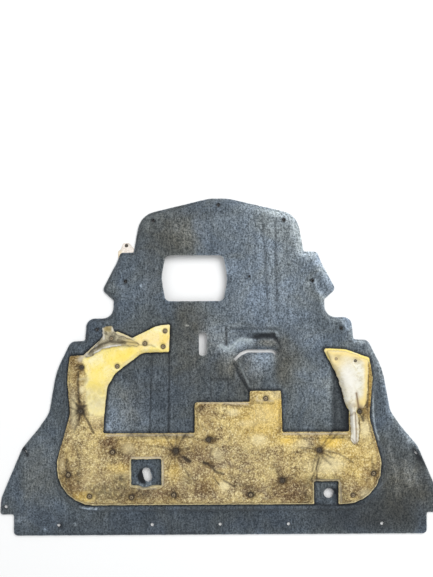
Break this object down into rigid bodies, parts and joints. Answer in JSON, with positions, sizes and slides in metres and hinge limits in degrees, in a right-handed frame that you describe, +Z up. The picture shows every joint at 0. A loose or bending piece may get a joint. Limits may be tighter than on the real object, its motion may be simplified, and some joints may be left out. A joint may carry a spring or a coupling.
{
  "type": "engine splash shield",
  "caption": "Pressed felt splash shield for the underside of an engine bay, with a riveted foam pad between stepped shoulders, a window, a louvre and drain holes.",
  "frame": {"origin": "under the middle of the felt sheet's bounding box, on the plane it lies on", "axes": "+X to the right along the widest side, +Y towards the narrow rear end, +Z up, out of the foam side"},
  "size_m": [1.0528, 0.804, 0.0296],
  "materials": {
    "felt": "pressed needle felt, matt, speckled and dusty",
    "foam": "open-cell foam under a thin ochre fleece, matt",
    "facing_grey": "torn thin fleece, matt",
    "facing_cream": "torn thin fleece, matt",
    "tab": "thin pale fleece, matt",
    "stud": "dark moulded plastic",
    "rivet": "dull and dirty",
    "washer": "dark coating, matt"
  },
  "bodies": {
    "root": {"felt_panel": "felt", "foam_pad": "foam", "facing_left": "facing_grey", "facing_right": "facing_cream", "pale_tab": "tab", "tab_stud": "stud", "rivet_01": "rivet", "rivet_02": "rivet", "rivet_03": "rivet", "rivet_04": "rivet", "rivet_05": "rivet", "rivet_06": "rivet", "rivet_07": "rivet", "rivet_08": "rivet", "rivet_09": "rivet", "rivet_10": "rivet", "rivet_11": "rivet", "rivet_12": "rivet", "rivet_13": "rivet", "rivet_14": "rivet", "rivet_15": "rivet", "rivet_16": "rivet", "rivet_17": "rivet", "rivet_18": "rivet", "rivet_19": "rivet", "rivet_20": "rivet", "rivet_21": "rivet", "rivet_22": "rivet", "rivet_23": "rivet", "washer_01": "washer", "washer_02": "washer", "washer_03": "washer", "washer_04": "washer", "washer_05": "washer", "washer_06": "washer", "washer_07": "washer", "washer_08": "washer", "washer_09": "washer", "washer_10": "washer", "washer_11": "washer", "washer_12": "washer", "washer_13": "washer", "washer_14": "washer", "washer_15": "washer", "washer_16": "washer", "washer_17": "washer", "washer_18": "washer", "washer_19": "washer", "washer_20": "washer", "washer_21": "washer", "washer_22": "washer", "washer_23": "washer"}
  },
  "joints": []
}
